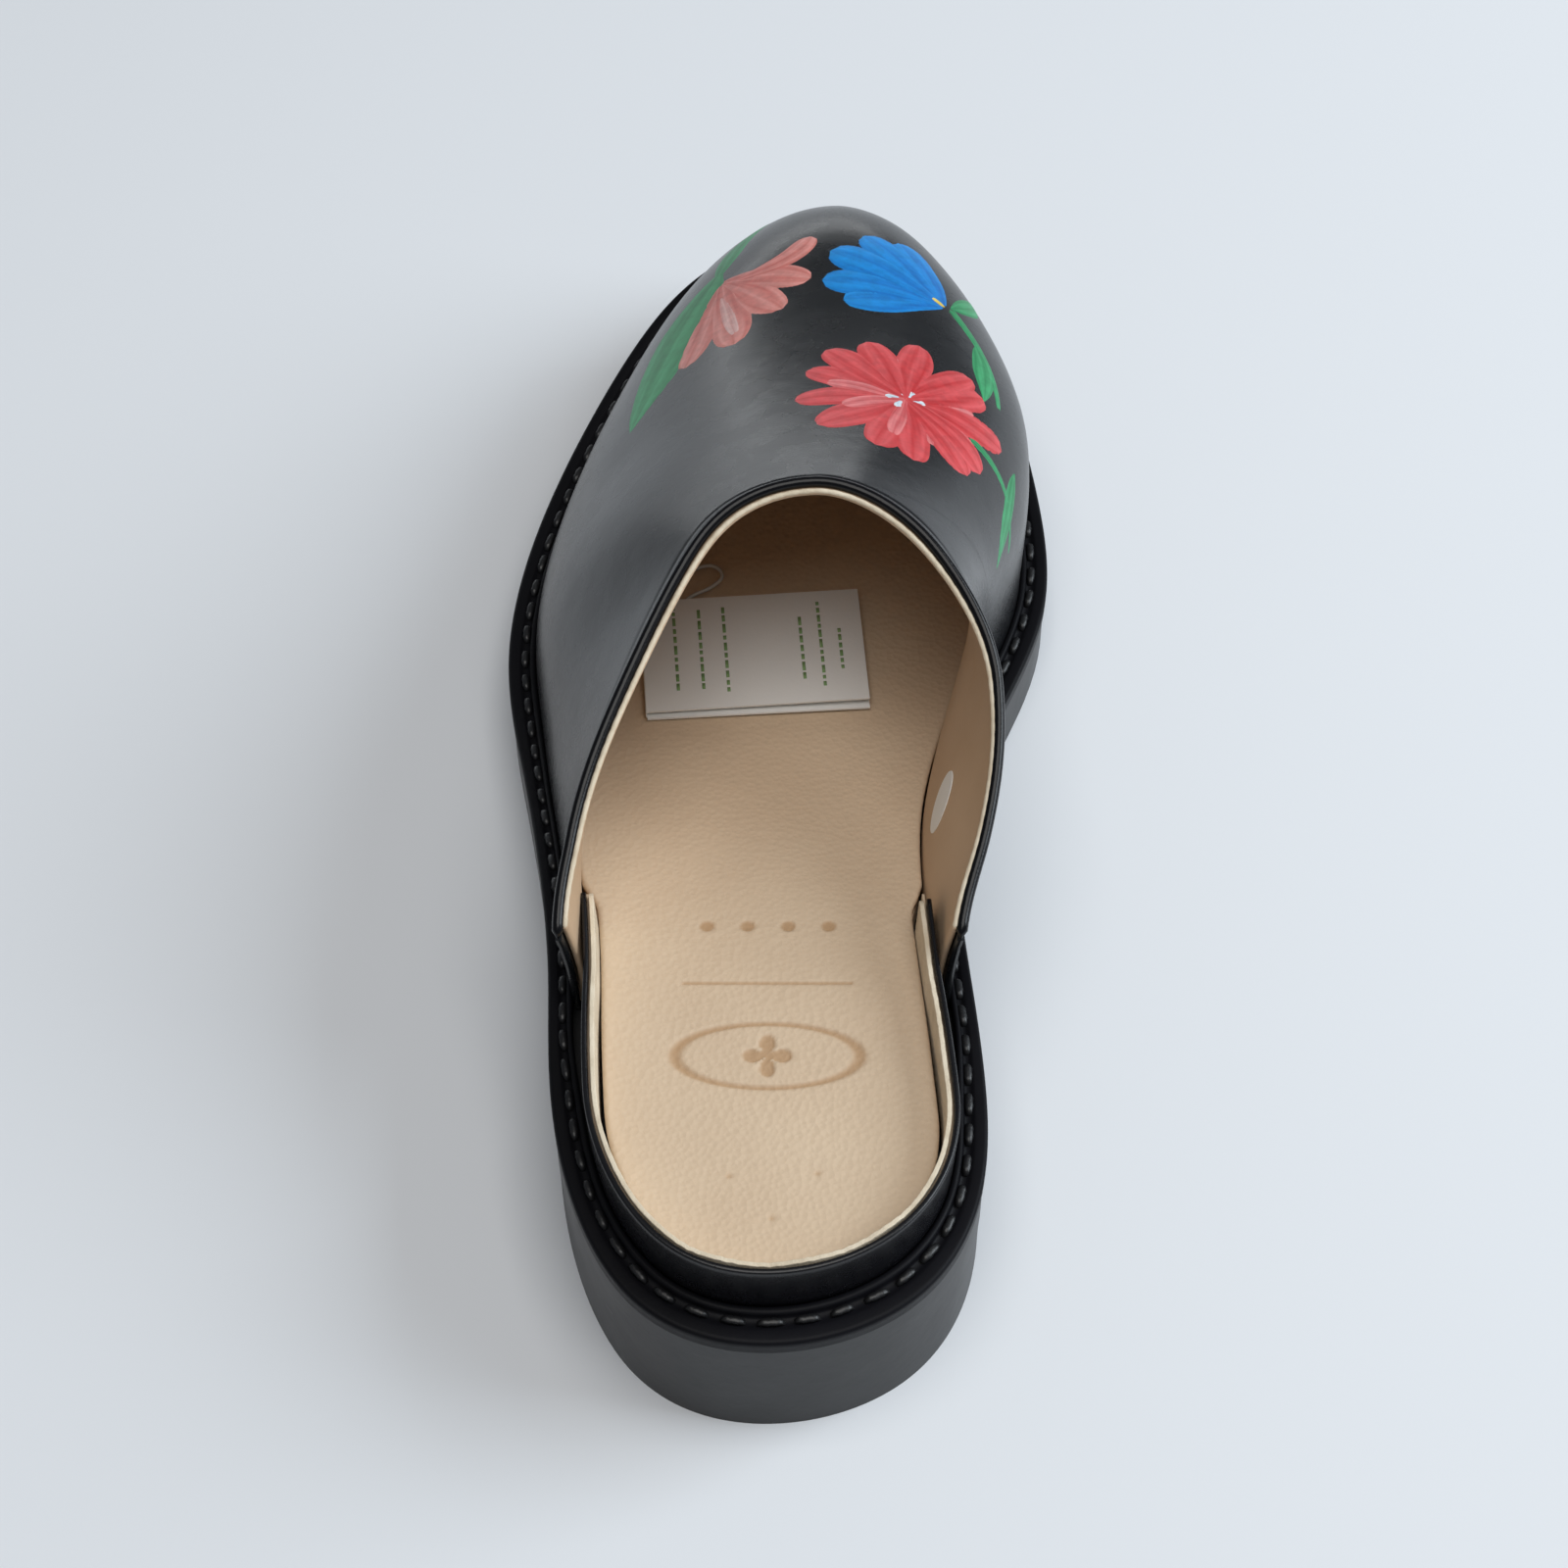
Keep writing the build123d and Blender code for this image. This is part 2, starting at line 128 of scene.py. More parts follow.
def inset(depth, extra=None):
    """The welt's edge moved inward by depth, plus extra(y)."""
    share = min(1.0, depth / FEATHER)
    out = []
    for x, y, nx, ny in EDGE_CURVE:
        rear = REAR * (1 - ease(*HEEL_ROUND, y))
        waist = WAIST * ease(*WAIST_STARTS, y) * (1 - ease(*WAIST_ENDS, y))
        d = depth + share * (rear - waist) + (extra(y) if extra else 0.0)
        out.append((x + nx * d, y + ny * d))
    return out


def underside(y):
    if y > TREAD1:
        return TOE_SPRING * ((y - TREAD1) / (TOE_END - TREAD1)) ** 2
    return HEEL_RISE * (1 - ease(SEAT_Y, TREAD0, y))


def side_x(points, y):
    """Where a closed line crosses y: the outer x and the inner x."""
    xs = []
    for (x0, y0), (x1, y1) in zip(points, points[1:] + points[:1]):
        if (y0 - y) * (y1 - y) <= 0 and y0 != y1:
            xs.append(x0 + (x1 - x0) * (y - y0) / (y1 - y0))
    return min(xs), max(xs)


def ridge_z(y):
    bend = RIDGE_BEND if y > THROAT_Y else RIDGE_BEND_BEHIND
    return THROAT_Z - RIDGE_FALL * (y - THROAT_Y) + bend * (y - THROAT_Y) ** 2


def topline(y):
    return THROAT_Z + OPENING_RISE * (y - THROAT_Y) + OPENING_BEND * (y - THROAT_Y) ** 2


class Shell:
    """The upper's surface, moved inward by t."""

    def __init__(self, t):
        self.t = t
        self.line = inset(FEATHER + t)
        self.tip = max(p[1] for p in self.line)
        self.cache = {}

    def section(self, y):
        """Left, right, foot, rise, ridge x and closing factor of the section at y."""
        if y not in self.cache:
            left, right = side_x(self.line, min(y, self.tip - 1e-4))
            foot = underside(y) + WELT_H
            u = min(1.0, max(0.0, (y - TIP_ROUND) / (self.tip - TIP_ROUND)))
            close = (1 - u ** TIP_POWER) ** (1 / TIP_POWER)
            rise = (ridge_z(y) - self.t - foot) * close
            self.cache[y] = (left, right, foot, rise, along(RIDGE_X, y), close)
        return self.cache[y]

    def at(self, y, turn):
        """The surface's point at y, turn degrees round from the outer foot."""
        left, right, foot, rise, mid, close = self.section(y)
        a = math.radians(turn)
        puff = math.sin(2 * a) ** 2 * close
        if turn <= 90:
            x = mid + (left - mid) * abs(math.cos(a)) ** OUTER_POWER - along(OUTER_BULGE, y) * puff
        else:
            x = mid + (right - mid) * abs(math.cos(a)) ** INNER_POWER + along(INNER_BULGE, y) * puff
        return (x, y, foot + rise * math.sin(a))

    def top_turn(self, y, drop):
        """How far round the section reaches, drop below the foot opening's edge."""
        if y > CLOSED_Y:
            return 90.0
        _, _, foot, rise, _, _ = self.section(y)
        s = (topline(y) - drop - foot) / rise
        return 90.0 if s >= 1 else math.degrees(math.asin(max(0.02, s)))

    def apex(self, drop):
        """The y at which the foot opening closes."""
        lo, hi = -20.0, CLOSED_Y
        halvings = 40
        for _ in range(halvings):
            m = (lo + hi) / 2
            if self.top_turn(m, drop) >= 90.0:
                hi = m
            else:
                lo = m
        return hi


# ---------------------------------------------------------------- placing
welt_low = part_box("welt")[0] * MM
SHIFT = (welt_low.x - min(p[0] for p in EDGE_CURVE), welt_low.y - min(p[1] for p in EDGE_CURVE))


def P(p):
    """A point in mm, as drawn, to the frame's metres."""
    return Vector(((p[0] + SHIFT[0]) / MM, (p[1] + SHIFT[1]) / MM, p[2] / MM))


def add_object(name, data):
    ob = bpy.data.objects.new(name, data)
    bpy.context.scene.collection.objects.link(ob)
    return ob


def point_colours(me, name, colours):
    """A colour for each vertex, which a material reads by name."""
    layer = me.color_attributes.new(name=name, type="FLOAT_COLOR", domain="POINT")
    for k, colour in enumerate(colours):
        layer.data[k].color = (*colour, 1)


def end_caps(rows, sides, start=0):
    """The two end faces of a tube of rows rings."""
    last = start + (rows - 1) * sides
    return [tuple(start + k for k in range(sides)), tuple(last + k for k in range(sides))]


def mesh_piece(name, verts, faces, mat, body="shoe", replace=(), merge=0.0):
    """A smooth mesh drawn in mm that rides on a body; merge joins vertices closer than that, in mm."""
    me = bpy.data.meshes.new(name)
    me.from_pydata([P(v) for v in verts], [], faces)
    bm = bmesh.new()
    bm.from_mesh(me)
    if merge:
        bmesh.ops.remove_doubles(bm, verts=bm.verts, dist=merge / MM)
    bmesh.ops.recalc_face_normals(bm, faces=bm.faces)
    bm.to_mesh(me)
    bm.free()
    me.polygons.foreach_set("use_smooth", [True] * len(me.polygons))
    me.materials.append(mat)
    ob = add_object(name, me)
    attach(ob, body)
    if replace:
        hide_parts(*replace)
    return ob


def grid_faces(rows, cols, start=0, wrap_rows=False, wrap_cols=False):
    """Quads over a grid of vertices that lie row by row from start."""
    out = []
    for i in range(rows if wrap_rows else rows - 1):
        for j in range(cols if wrap_cols else cols - 1):
            a, b = start + i * cols, start + ((i + 1) % rows) * cols
            c, d = j, (j + 1) % cols
            out.append((a + c, a + d, b + d, b + c))
    return out


# ---------------------------------------------------------------- materials
# sockets of a colour mix node
MIX_FACTOR, MIX_A, MIX_B, MIX_RESULT = 0, 6, 7, 2


def tree(name):
    """An empty material with one Principled shader; returns it, its nodes and the shader."""
    m = bpy.data.materials.new(name)
    m.use_nodes = True
    nt = m.node_tree
    nt.nodes.clear()
    out = nt.nodes.new("ShaderNodeOutputMaterial")
    bsdf = nt.nodes.new("ShaderNodeBsdfPrincipled")
    nt.links.new(bsdf.outputs[0], out.inputs[0])
    return m, nt, bsdf


def node(nt, kind, **kw):
    """A node with its inputs, or else its own settings, set by name."""
    n = nt.nodes.new(kind)
    for k, v in kw.items():
        if k in n.inputs:
            n.inputs[k].default_value = v
        else:
            setattr(n, k, v)
    return n


def coords(nt):
    return nt.nodes.new("ShaderNodeTexCoord").outputs["Object"]


def noise(nt, vec, scale, detail=3.0, rough=0.5):
    n = node(nt, "ShaderNodeTexNoise", Scale=scale, Detail=detail, Roughness=rough)
    nt.links.new(vec, n.inputs["Vector"])
    return n.outputs["Fac"]


def voronoi(nt, vec, scale):
    n = node(nt, "ShaderNodeTexVoronoi", Scale=scale)
    nt.links.new(vec, n.inputs["Vector"])
    return n.outputs["Distance"]


def ramp(nt, fac, stops):
    """A colour ramp; a stop's colour is RGB or a single grey."""
    r = nt.nodes.new("ShaderNodeValToRGB")
    el = r.color_ramp.elements
    while len(el) < len(stops):
        el.new(0.5)
    for e, (pos, col) in zip(el, stops):
        e.position = pos
        e.color = (*col, 1) if len(col) == 3 else (col[0], col[0], col[0], 1)
    nt.links.new(fac, r.inputs["Fac"])
    return r.outputs["Color"]


def bump(nt, bsdf, height, strength, distance, prev=None):
    b = node(nt, "ShaderNodeBump", Strength=strength, Distance=distance)
    nt.links.new(height, b.inputs["Height"])
    if prev is not None:
        nt.links.new(prev, b.inputs["Normal"])
    nt.links.new(b.outputs["Normal"], bsdf.inputs["Normal"])
    return b.outputs["Normal"]


def leather(name, dark, light, rough, grain, depth, coat=0.0, patch=25.0, spec=0.5, relief=0.00012):
    """Two tones in patches, a slightly uneven gloss, slow waves and a cell grain relief metres deep."""
    m, nt, bsdf = tree(name)
    c = coords(nt)
    tone = ramp(nt, noise(nt, c, patch, 4.0), [(0.3, dark), (0.75, light)])
    gloss = ramp(nt, noise(nt, c, patch * 6, 4.0), [(0.3, (rough * 0.94,)), (0.7, (rough * 1.08,))])
    nt.links.new(tone, bsdf.inputs["Base Color"])
    nt.links.new(gloss, bsdf.inputs["Roughness"])
    waves = bump(nt, bsdf, noise(nt, c, 160.0, 2.0), 0.12, 0.0006)
    bump(nt, bsdf, voronoi(nt, c, grain), depth, relief, waves)
    bsdf.inputs["Specular IOR Level"].default_value = spec
    bsdf.inputs["Coat Weight"].default_value = coat
    bsdf.inputs["Coat Roughness"].default_value = 0.25
    return m


mat_vamp = leather("black_leather", (0.005, 0.0055, 0.0065), (0.008, 0.009, 0.0105), 0.27, 1900.0, 0.07)
mat_bind = leather("black_piping", (0.003, 0.003, 0.004), (0.005, 0.005, 0.006), 0.20, 2600.0, 0.06,
                   spec=0.28)
mat_rim = leather("rim_leather", (0.004, 0.004, 0.005), (0.007, 0.007, 0.009), 0.27, 2200.0, 0.08,
                  spec=0.4)
mat_welt = leather("welt_leather", (0.004, 0.004, 0.005), (0.006, 0.006, 0.008), 0.46, 1500.0, 0.10,
                   spec=0.10)
mat_sole = leather("sole_edge", (0.006, 0.006, 0.007), (0.010, 0.011, 0.012), 0.40, 900.0, 0.06,
                   patch=14.0)
mat_sock = leather("sock_leather", (0.60, 0.45, 0.31), (0.68, 0.53, 0.375), 0.58, 900.0, 1.0,
                   relief=0.00013)
mat_lining = leather("tan_lining", (0.50, 0.34, 0.21), (0.62, 0.45, 0.30), 0.62, 1300.0, 0.25)
mat_edge = leather("cream_cut_edge", (0.62, 0.52, 0.38), (0.80, 0.71, 0.56), 0.85, 2400.0, 0.5,
                   patch=220.0)
mat_thread = leather("waxed_thread", (0.003, 0.003, 0.004), (0.008, 0.008, 0.009), 0.42, 1200.0, 0.3,
                     coat=0.1)
mat_card = leather("white_card", (0.80, 0.80, 0.78), (0.86, 0.86, 0.84), 0.7, 1500.0, 0.1)
mat_sticker = leather("white_sticker", (0.80, 0.80, 0.77), (0.88, 0.88, 0.86), 0.5, 1500.0, 0.05)
mat_brass = leather("brass_nail", (0.45, 0.30, 0.12), (0.55, 0.38, 0.16), 0.35, 800.0, 0.1)
mat_brass.node_tree.nodes["Principled BSDF"].inputs["Metallic"].default_value = 1.0
mat_print = leather("green_ink", (0.20, 0.36, 0.14), (0.28, 0.44, 0.20), 0.7, 1500.0, 0.05)
mat_plain = leather("inner_board", (0.42, 0.32, 0.22), (0.52, 0.40, 0.28), 0.8, 700.0, 0.3)

mat_nylon, _, nylon = tree("clear_nylon")
nylon.inputs["Base Color"].default_value = (0.80, 0.81, 0.80, 1)
nylon.inputs["Roughness"].default_value = 0.25
nylon.inputs["Transmission Weight"].default_value = 0.15


def burnish(mat):
    """The pressed marks are a darker tan than the leather round them."""
    nt = mat.node_tree
    bsdf = nt.nodes["Principled BSDF"]
    base = bsdf.inputs["Base Color"].links[0].from_socket
    mix = node(nt, "ShaderNodeMix", data_type="RGBA", blend_type="MULTIPLY")
    pressed = node(nt, "ShaderNodeAttribute", attribute_name="pressed")
    nt.links.new(pressed.outputs["Fac"], mix.inputs[MIX_FACTOR])
    nt.links.new(base, mix.inputs[MIX_A])
    mix.inputs[MIX_B].default_value = (0.74, 0.62, 0.50, 1)
    nt.links.new(mix.outputs[MIX_RESULT], bsdf.inputs["Base Color"])


burnish(mat_sock)


def acrylic():
    """Paint whose colour is the mesh's own shade, with fine brush relief."""
    m, nt, bsdf = tree("acrylic_paint")
    shade = node(nt, "ShaderNodeAttribute", attribute_name="shade")
    patches = noise(nt, coords(nt), 420.0, 4.0, 0.65)
    worn = ramp(nt, patches, [(0.35, (0.80, 0.80, 0.80)), (0.62, (1.0, 1.0, 1.0))])
    mix = node(nt, "ShaderNodeMix", data_type="RGBA", blend_type="MULTIPLY")
    mix.inputs[MIX_FACTOR].default_value = 1.0
    nt.links.new(shade.outputs["Color"], mix.inputs[MIX_A])
    nt.links.new(worn, mix.inputs[MIX_B])
    nt.links.new(mix.outputs[MIX_RESULT], bsdf.inputs["Base Color"])
    bsdf.inputs["Roughness"].default_value = 0.42
    bsdf.inputs["Specular IOR Level"].default_value = 0.3
    bump(nt, bsdf, noise(nt, coords(nt), 900.0, 3.0), 0.10, 0.0002)
    return m


mat_paint = acrylic()

# the CAD's own pieces that stay visible or lie hidden inside
CAD_LOOKS = {
    "midsole": mat_sole, "outsole": mat_sole, "heel_block": mat_sole, "top_piece": mat_sole,
    "heel_nails": mat_brass, "shank": mat_brass, "cork_filler": mat_plain, "insole_board": mat_plain,
    "sock_foam": mat_plain, "toe_puff": mat_plain, "vamp_backer": mat_plain, "rim_stiffener": mat_plain,
    "inspection_sticker": mat_sticker, "hang_tag": mat_card,
}
for node_name, mat in CAD_LOOKS.items():
    nodes[node_name].data.materials.clear()
    nodes[node_name].data.materials.append(mat)


# ---------------------------------------------------------------- upper
# the pressed line beside the piping: how far from the edge, how wide, how deep
CREASE_AT, CREASE_WIDE, CREASE_DEEP = 3.5, 0.6, 0.13
# the sheet's foot is tucked this far below the welt's top
TUCK = 2.6
BACK_ROWS = 60
# how fast the beads of a scalloped edge follow each other, in radians to the millimetre
SCALLOP_TURN = 1.25


def upper_rows(shell, top, back_y):
    """The y of each section: close together at the throat and at the toe's tip."""
    ahead, tip_from = 8, 100
    ys = [back_y + (top - back_y) * (1 - (1 - k / BACK_ROWS) ** 2) for k in range(BACK_ROWS)]
    ys += [top + ahead * k / 24 for k in range(24)]
    ys += [top + ahead + (tip_from - ahead - top) * k / 44 for k in range(45)]
    ys += [tip_from + (shell.tip - tip_from) * math.sin(math.radians(90 * k / 26)) for k in range(1, 27)]
    return ys


def press_crease(line, under, y, crease):
    """Push a section's points inward where they pass CREASE_AT from the foot opening's edge."""
    cut = Vector((0, -OPENING_RISE - 2 * OPENING_BEND * (y - THROAT_Y), 1)).normalized()
    for c, spot in enumerate(line):
        inward = (under[c] - spot).normalized()
        below = (topline(y) - spot.z) * cut.z
        away = below / math.sqrt(max(0.03, 1 - inward.dot(cut) ** 2))
        line[c] = spot + inward * (crease * math.exp(-((away - CREASE_AT) / CREASE_WIDE) ** 2))


def shell_piece(name, t_out, t_in, drop, back_y, mat, replace, crease=0.0):
    """Closed sheet between two depths of the upper's surface, under the foot opening's edge."""
    verts, faces = [], []
    cols = 56
    w = cols + 2
    other = Shell(t_out + 1.0)
    for side in (0, 1):
        starts = []
        for t in (t_out, t_in):
            s = Shell(t)
            top = s.apex(drop)
            ys = upper_rows(s, top, back_y)
            starts.append(len(verts))
            for y in ys:
                limit = s.top_turn(y, drop) if y < top else 90.0
                turns = [limit * math.sin(math.pi / 2 * c / cols) ** 1.15 for c in range(cols + 1)]
                turns = turns if side == 0 else [180 - turn for turn in turns]
                line = [Vector(s.at(y, turn)) for turn in turns]
                if crease and t == t_out and y < top + 12:
                    press_crease(line, [Vector(other.at(y, turn)) for turn in turns], y, crease)
                low = line[0]
                verts.append((low[0], low[1], low[2] - TUCK))
                verts += [tuple(p) for p in line]
            rows = len(ys)
            faces += grid_faces(rows, w, starts[-1])
        a0, b0 = starts
        for i in range(rows - 1):
            a, b = a0 + i * w, b0 + i * w
            faces.append((a, a + w, b + w, b))
            if i < BACK_ROWS:
                faces.append((a + w - 1, b + w - 1, b + 2 * w - 1, a + 2 * w - 1))
        for j in range(w - 1):
            faces.append((a0 + j, b0 + j, b0 + j + 1, a0 + j + 1))
    return mesh_piece(name, verts, faces, mat, replace=replace, merge=0.004)


vamp = shell_piece("vamp_skin", 0.0, 1.2, 1.6, TAIL_Y, mat_vamp, ("vamp",), CREASE_DEEP)
shell_piece("lining_skin", 1.6, WALL, 0.7, TAIL_Y + 1.4, mat_lining, ("vamp_lining",))


def topline_path(t, drop, back_y, count=90):
    """A line along the foot opening, from the outer tail over the throat to the inner tail."""
    s = Shell(t)
    top = s.apex(drop)
    ys = [back_y + (top - back_y) * math.sin(math.radians(90 * k / count)) for k in range(count + 1)]
    pts = [s.at(y, s.top_turn(y, drop)) for y in ys]
    return pts + [s.at(y, 180 - s.top_turn(y, drop)) for y in reversed(ys[:-1])]


def tube(name, path, radius, mat, sides=14, replace=(), scallop=0.0):
    """Round bead along a path, with rounded ends; scallop makes it a little beaded."""
    verts = []
    n = len(path)
    pts = [Vector(p) for p in path]
    up = Vector((0, 0, 1))
    run = 0.0
    for i, p in enumerate(pts):
        run += (p - pts[max(0, i - 1)]).length
        d = (pts[min(n - 1, i + 1)] - pts[max(0, i - 1)]).normalized()
        side = d.cross(up).normalized()
        top = side.cross(d).normalized()
        run_in = min((p - pts[0]).length, (p - pts[-1]).length)
        r = radius * math.sqrt(max(0.02, 1 - max(0.0, 1 - run_in / radius) ** 2))
        r *= 1 + scallop * (abs(math.sin(run * SCALLOP_TURN)) - 0.5)
        for k in range(sides):
            a = 2 * math.pi * k / sides
            verts.append(tuple(p + side * (math.cos(a) * r) + top * (math.sin(a) * r)))
    faces = grid_faces(n, sides, 0, False, True) + end_caps(n, sides)
    return mesh_piece(name, verts, faces, mat, replace=replace)


tube("lining_cut_edge", topline_path(1.98, 0.85, TAIL_Y + 1.5, 260), 0.46, mat_edge, sides=10,
     scallop=0.16)
tube("binding_bead", topline_path(0.62, 1.0, TAIL_Y), 1.0, mat_bind,
     replace=("topline_binding",))


# ---------------------------------------------------------------- rings and rims
def ring_piece(name, profile, mat, replace):
    """A closed profile of (depth, height above the underside) swept round the welt's edge."""
    verts = []
    lines = [inset(d) for d, _ in profile]
    n = len(lines[0])
    for i in range(n):
        for line, (d, h) in zip(lines, profile):
            x, y = line[i]
            verts.append((x, y, underside(EDGE_CURVE[i][1]) + h))
    faces = grid_faces(n, len(profile), 0, True, True)
    return mesh_piece(name, verts, faces, mat, replace=replace)


def arc(cx, cy, r, a0, a1, steps):
    """Points round an arc from a0 to a1 degrees."""
    turns = [math.radians(a0 + (a1 - a0) * k / steps) for k in range(steps + 1)]
    return [(cx + r * math.cos(a), cy + r * math.sin(a)) for a in turns]


# the welt's section: rounded outer edge, flat, stitch groove, inner bead; depth grows inward
EDGE_R, STITCH_IN = 0.75, 3.2
profile = [(0.05, BASE_H + 0.02)] + arc(EDGE_R, WELT_H - EDGE_R, EDGE_R, 180, 90, 6)
profile += [(1.3, WELT_H), (1.9, WELT_H - 0.02), (2.35, WELT_H - 0.12), (2.65, WELT_H - 0.45)]
profile += [(STITCH_IN, WELT_H - 0.5), (3.8, WELT_H - 0.42), (4.05, WELT_H - 0.1)]
profile += arc(4.66, WELT_H + 0.35, 0.62, 170, 10, 8)
profile += [(FEATHER, WELT_H + 0.1), (FEATHER, BASE_H + 0.02)]
ring_piece("welt_strip", profile, mat_welt, ("welt",))


# the rim clears the lining by the first, having narrowed over the second
RIM_CLEAR, RIM_NARROWS = 0.3, (-100, -66)
# the rim's top dips behind the waist, climbs to its front ends, and leans inward as it rises
DIP, CLIMB, LEAN = 0.4, 1.2, 0.05
DIP_SPAN, CLIMB_FROM = (-118, -95), -95
# the front ends stop this far back, the foot stands this far above the welt's base
RIM_STOP, RIM_FOOT = 1.2, 0.4
# depths are rounded to this step, so that each inset line is worked out once
DEPTH_STEP = 0.02


def rim_extra(y):
    """The rim moves inside the vamp where their ends overlap."""
    return (WALL + RIM_CLEAR) * ease(*RIM_NARROWS, y)


def rim_piece(name, d0, d1, drop, mat, replace, wave=0.0, r=0.45):
    """Open band round the heel, its front ends just ahead of the vamp's tails."""
    foot = HEEL_RISE + WELT_H
    idx = [i for i, p in enumerate(EDGE_CURVE) if p[1] < RIM_Y - RIM_STOP]
    r = min(r, (d1 - d0) * 0.49)
    lines = {}

    def spot(depth, i):
        key = round(depth / DEPTH_STEP)
        if key not in lines:
            lines[key] = inset(key * DEPTH_STEP, rim_extra)
        return lines[key][i]

    verts = []
    run = 0.0
    prev = None
    for i in idx:
        y = EDGE_CURVE[i][1]
        if prev is not None:
            run += math.hypot(EDGE_CURVE[i][0] - prev[0], y - prev[1])
        prev = EDGE_CURVE[i]
        top = foot + RIM_H - drop - DIP * ease(*DIP_SPAN, y) + CLIMB * ease(CLIMB_FROM, RIM_Y, y)
        top += wave * (abs(math.sin(run * 1.05)) - 0.5) + wave * 0.6 * math.sin(run * 0.37)
        low = underside(y) + BASE_H + RIM_FOOT
        heights = [low, low + (top - low) * 0.3, low + (top - low) * 0.62, top - r - 1.0]
        section = [(d0, z) for z in heights]
        section += arc(d0 + r, top - r, r, 180, 90, 5)
        section += arc(d1 - r, top - r, r, 90, 0, 5)
        section += [(d1, z) for z in reversed(heights)]
        for d, z in section:
            verts.append((*spot(d - (z - foot) * LEAN, i), z))
    w = len(section)
    faces = grid_faces(len(idx), w, 0, False, True) + end_caps(len(idx), w)
    return mesh_piece(name, verts, faces, mat, replace=replace)


rim_piece("heel_rim_band", FEATHER + 0.08, FEATHER + 1.1, 0.0, mat_rim, ("heel_rim",))
rim_piece("rim_lining_band", FEATHER + 1.5, FEATHER + 2.3, 0.3, mat_edge, ("rim_lining",),
          wave=0.35, r=0.15)


# ---------------------------------------------------------------- sock
BED_NARROW, BED_NARROWS, BED_WIDENS = 2.4, (-102, -69), (-50, -42)
# the pressed marks: a row of dots, a ruled line, an oval with a sprig, pin marks
DOTS_Y, DOT_STEP, DOT_R = -52.5, 7.0, 1.25
RULE_Y, RULE_LONG, RULE_WIDE = -65.5, 29.0, 0.28
OVAL_Y, OVAL_LONG, OVAL_HIGH = -80.5, 15.5, 6.4
RING_HALF, PETAL_LONG, PRESS_EDGE = 0.42, 4.2, 0.30
PINS = ((-9.0, -104.0), (5.5, -103.5), (-2.0, -112.0))
PIN_DEPTH, PIN_WIDE = 0.25, 0.5
MARK_X, PRESS_DEPTH = -2.8, 0.30
# the part of the sock that carries the marks has the finest mesh
MARKS_FROM, MARKS_TO = -114, -46
SOCK_DROP, SOCK_FOOT = 0.35, 1.4
# the sock turns up a little toward its edge, and its very edge rolls down
LIP_HIGH, LIP_WIDE, ROLL_DEEP, ROLL_WIDE = 0.7, 14.0, 0.45, 0.9


def bed_extra(y):
    """The sock narrows beside the rim's front ends."""
    return BED_NARROW * ease(*BED_NARROWS, y) * (1 - ease(*BED_WIDENS, y))


def press(x, y):
    """How deep the sock is pressed: a ruled line, an oval with a four-petal sprig, and pin marks."""
    u, v = x - MARK_X, y - RULE_Y
    line = max(abs(v) - RULE_WIDE, abs(u) - RULE_LONG / 2)
    w = y - OVAL_Y
    far = math.hypot(u / OVAL_LONG, w / OVAL_HIGH)
    ring = abs(far - 1) * OVAL_HIGH - RING_HALF
    turn = math.atan2(w, u)
    petal = math.hypot(u, w) - PETAL_LONG * abs(math.cos(2 * turn)) ** 0.7
    dot_row = min(math.hypot(u - k * DOT_STEP, y - DOTS_Y) for k in (-1.5, -0.5, 0.5, 1.5)) - DOT_R
    near = min(line, ring, petal, dot_row)
    depth = PRESS_DEPTH * (1 - ease(-PRESS_EDGE, PRESS_EDGE, near))
    for px, py in PINS:
        depth += PIN_DEPTH * math.exp(-(math.hypot(x - px, y - py) / PIN_WIDE) ** 2)
    return depth


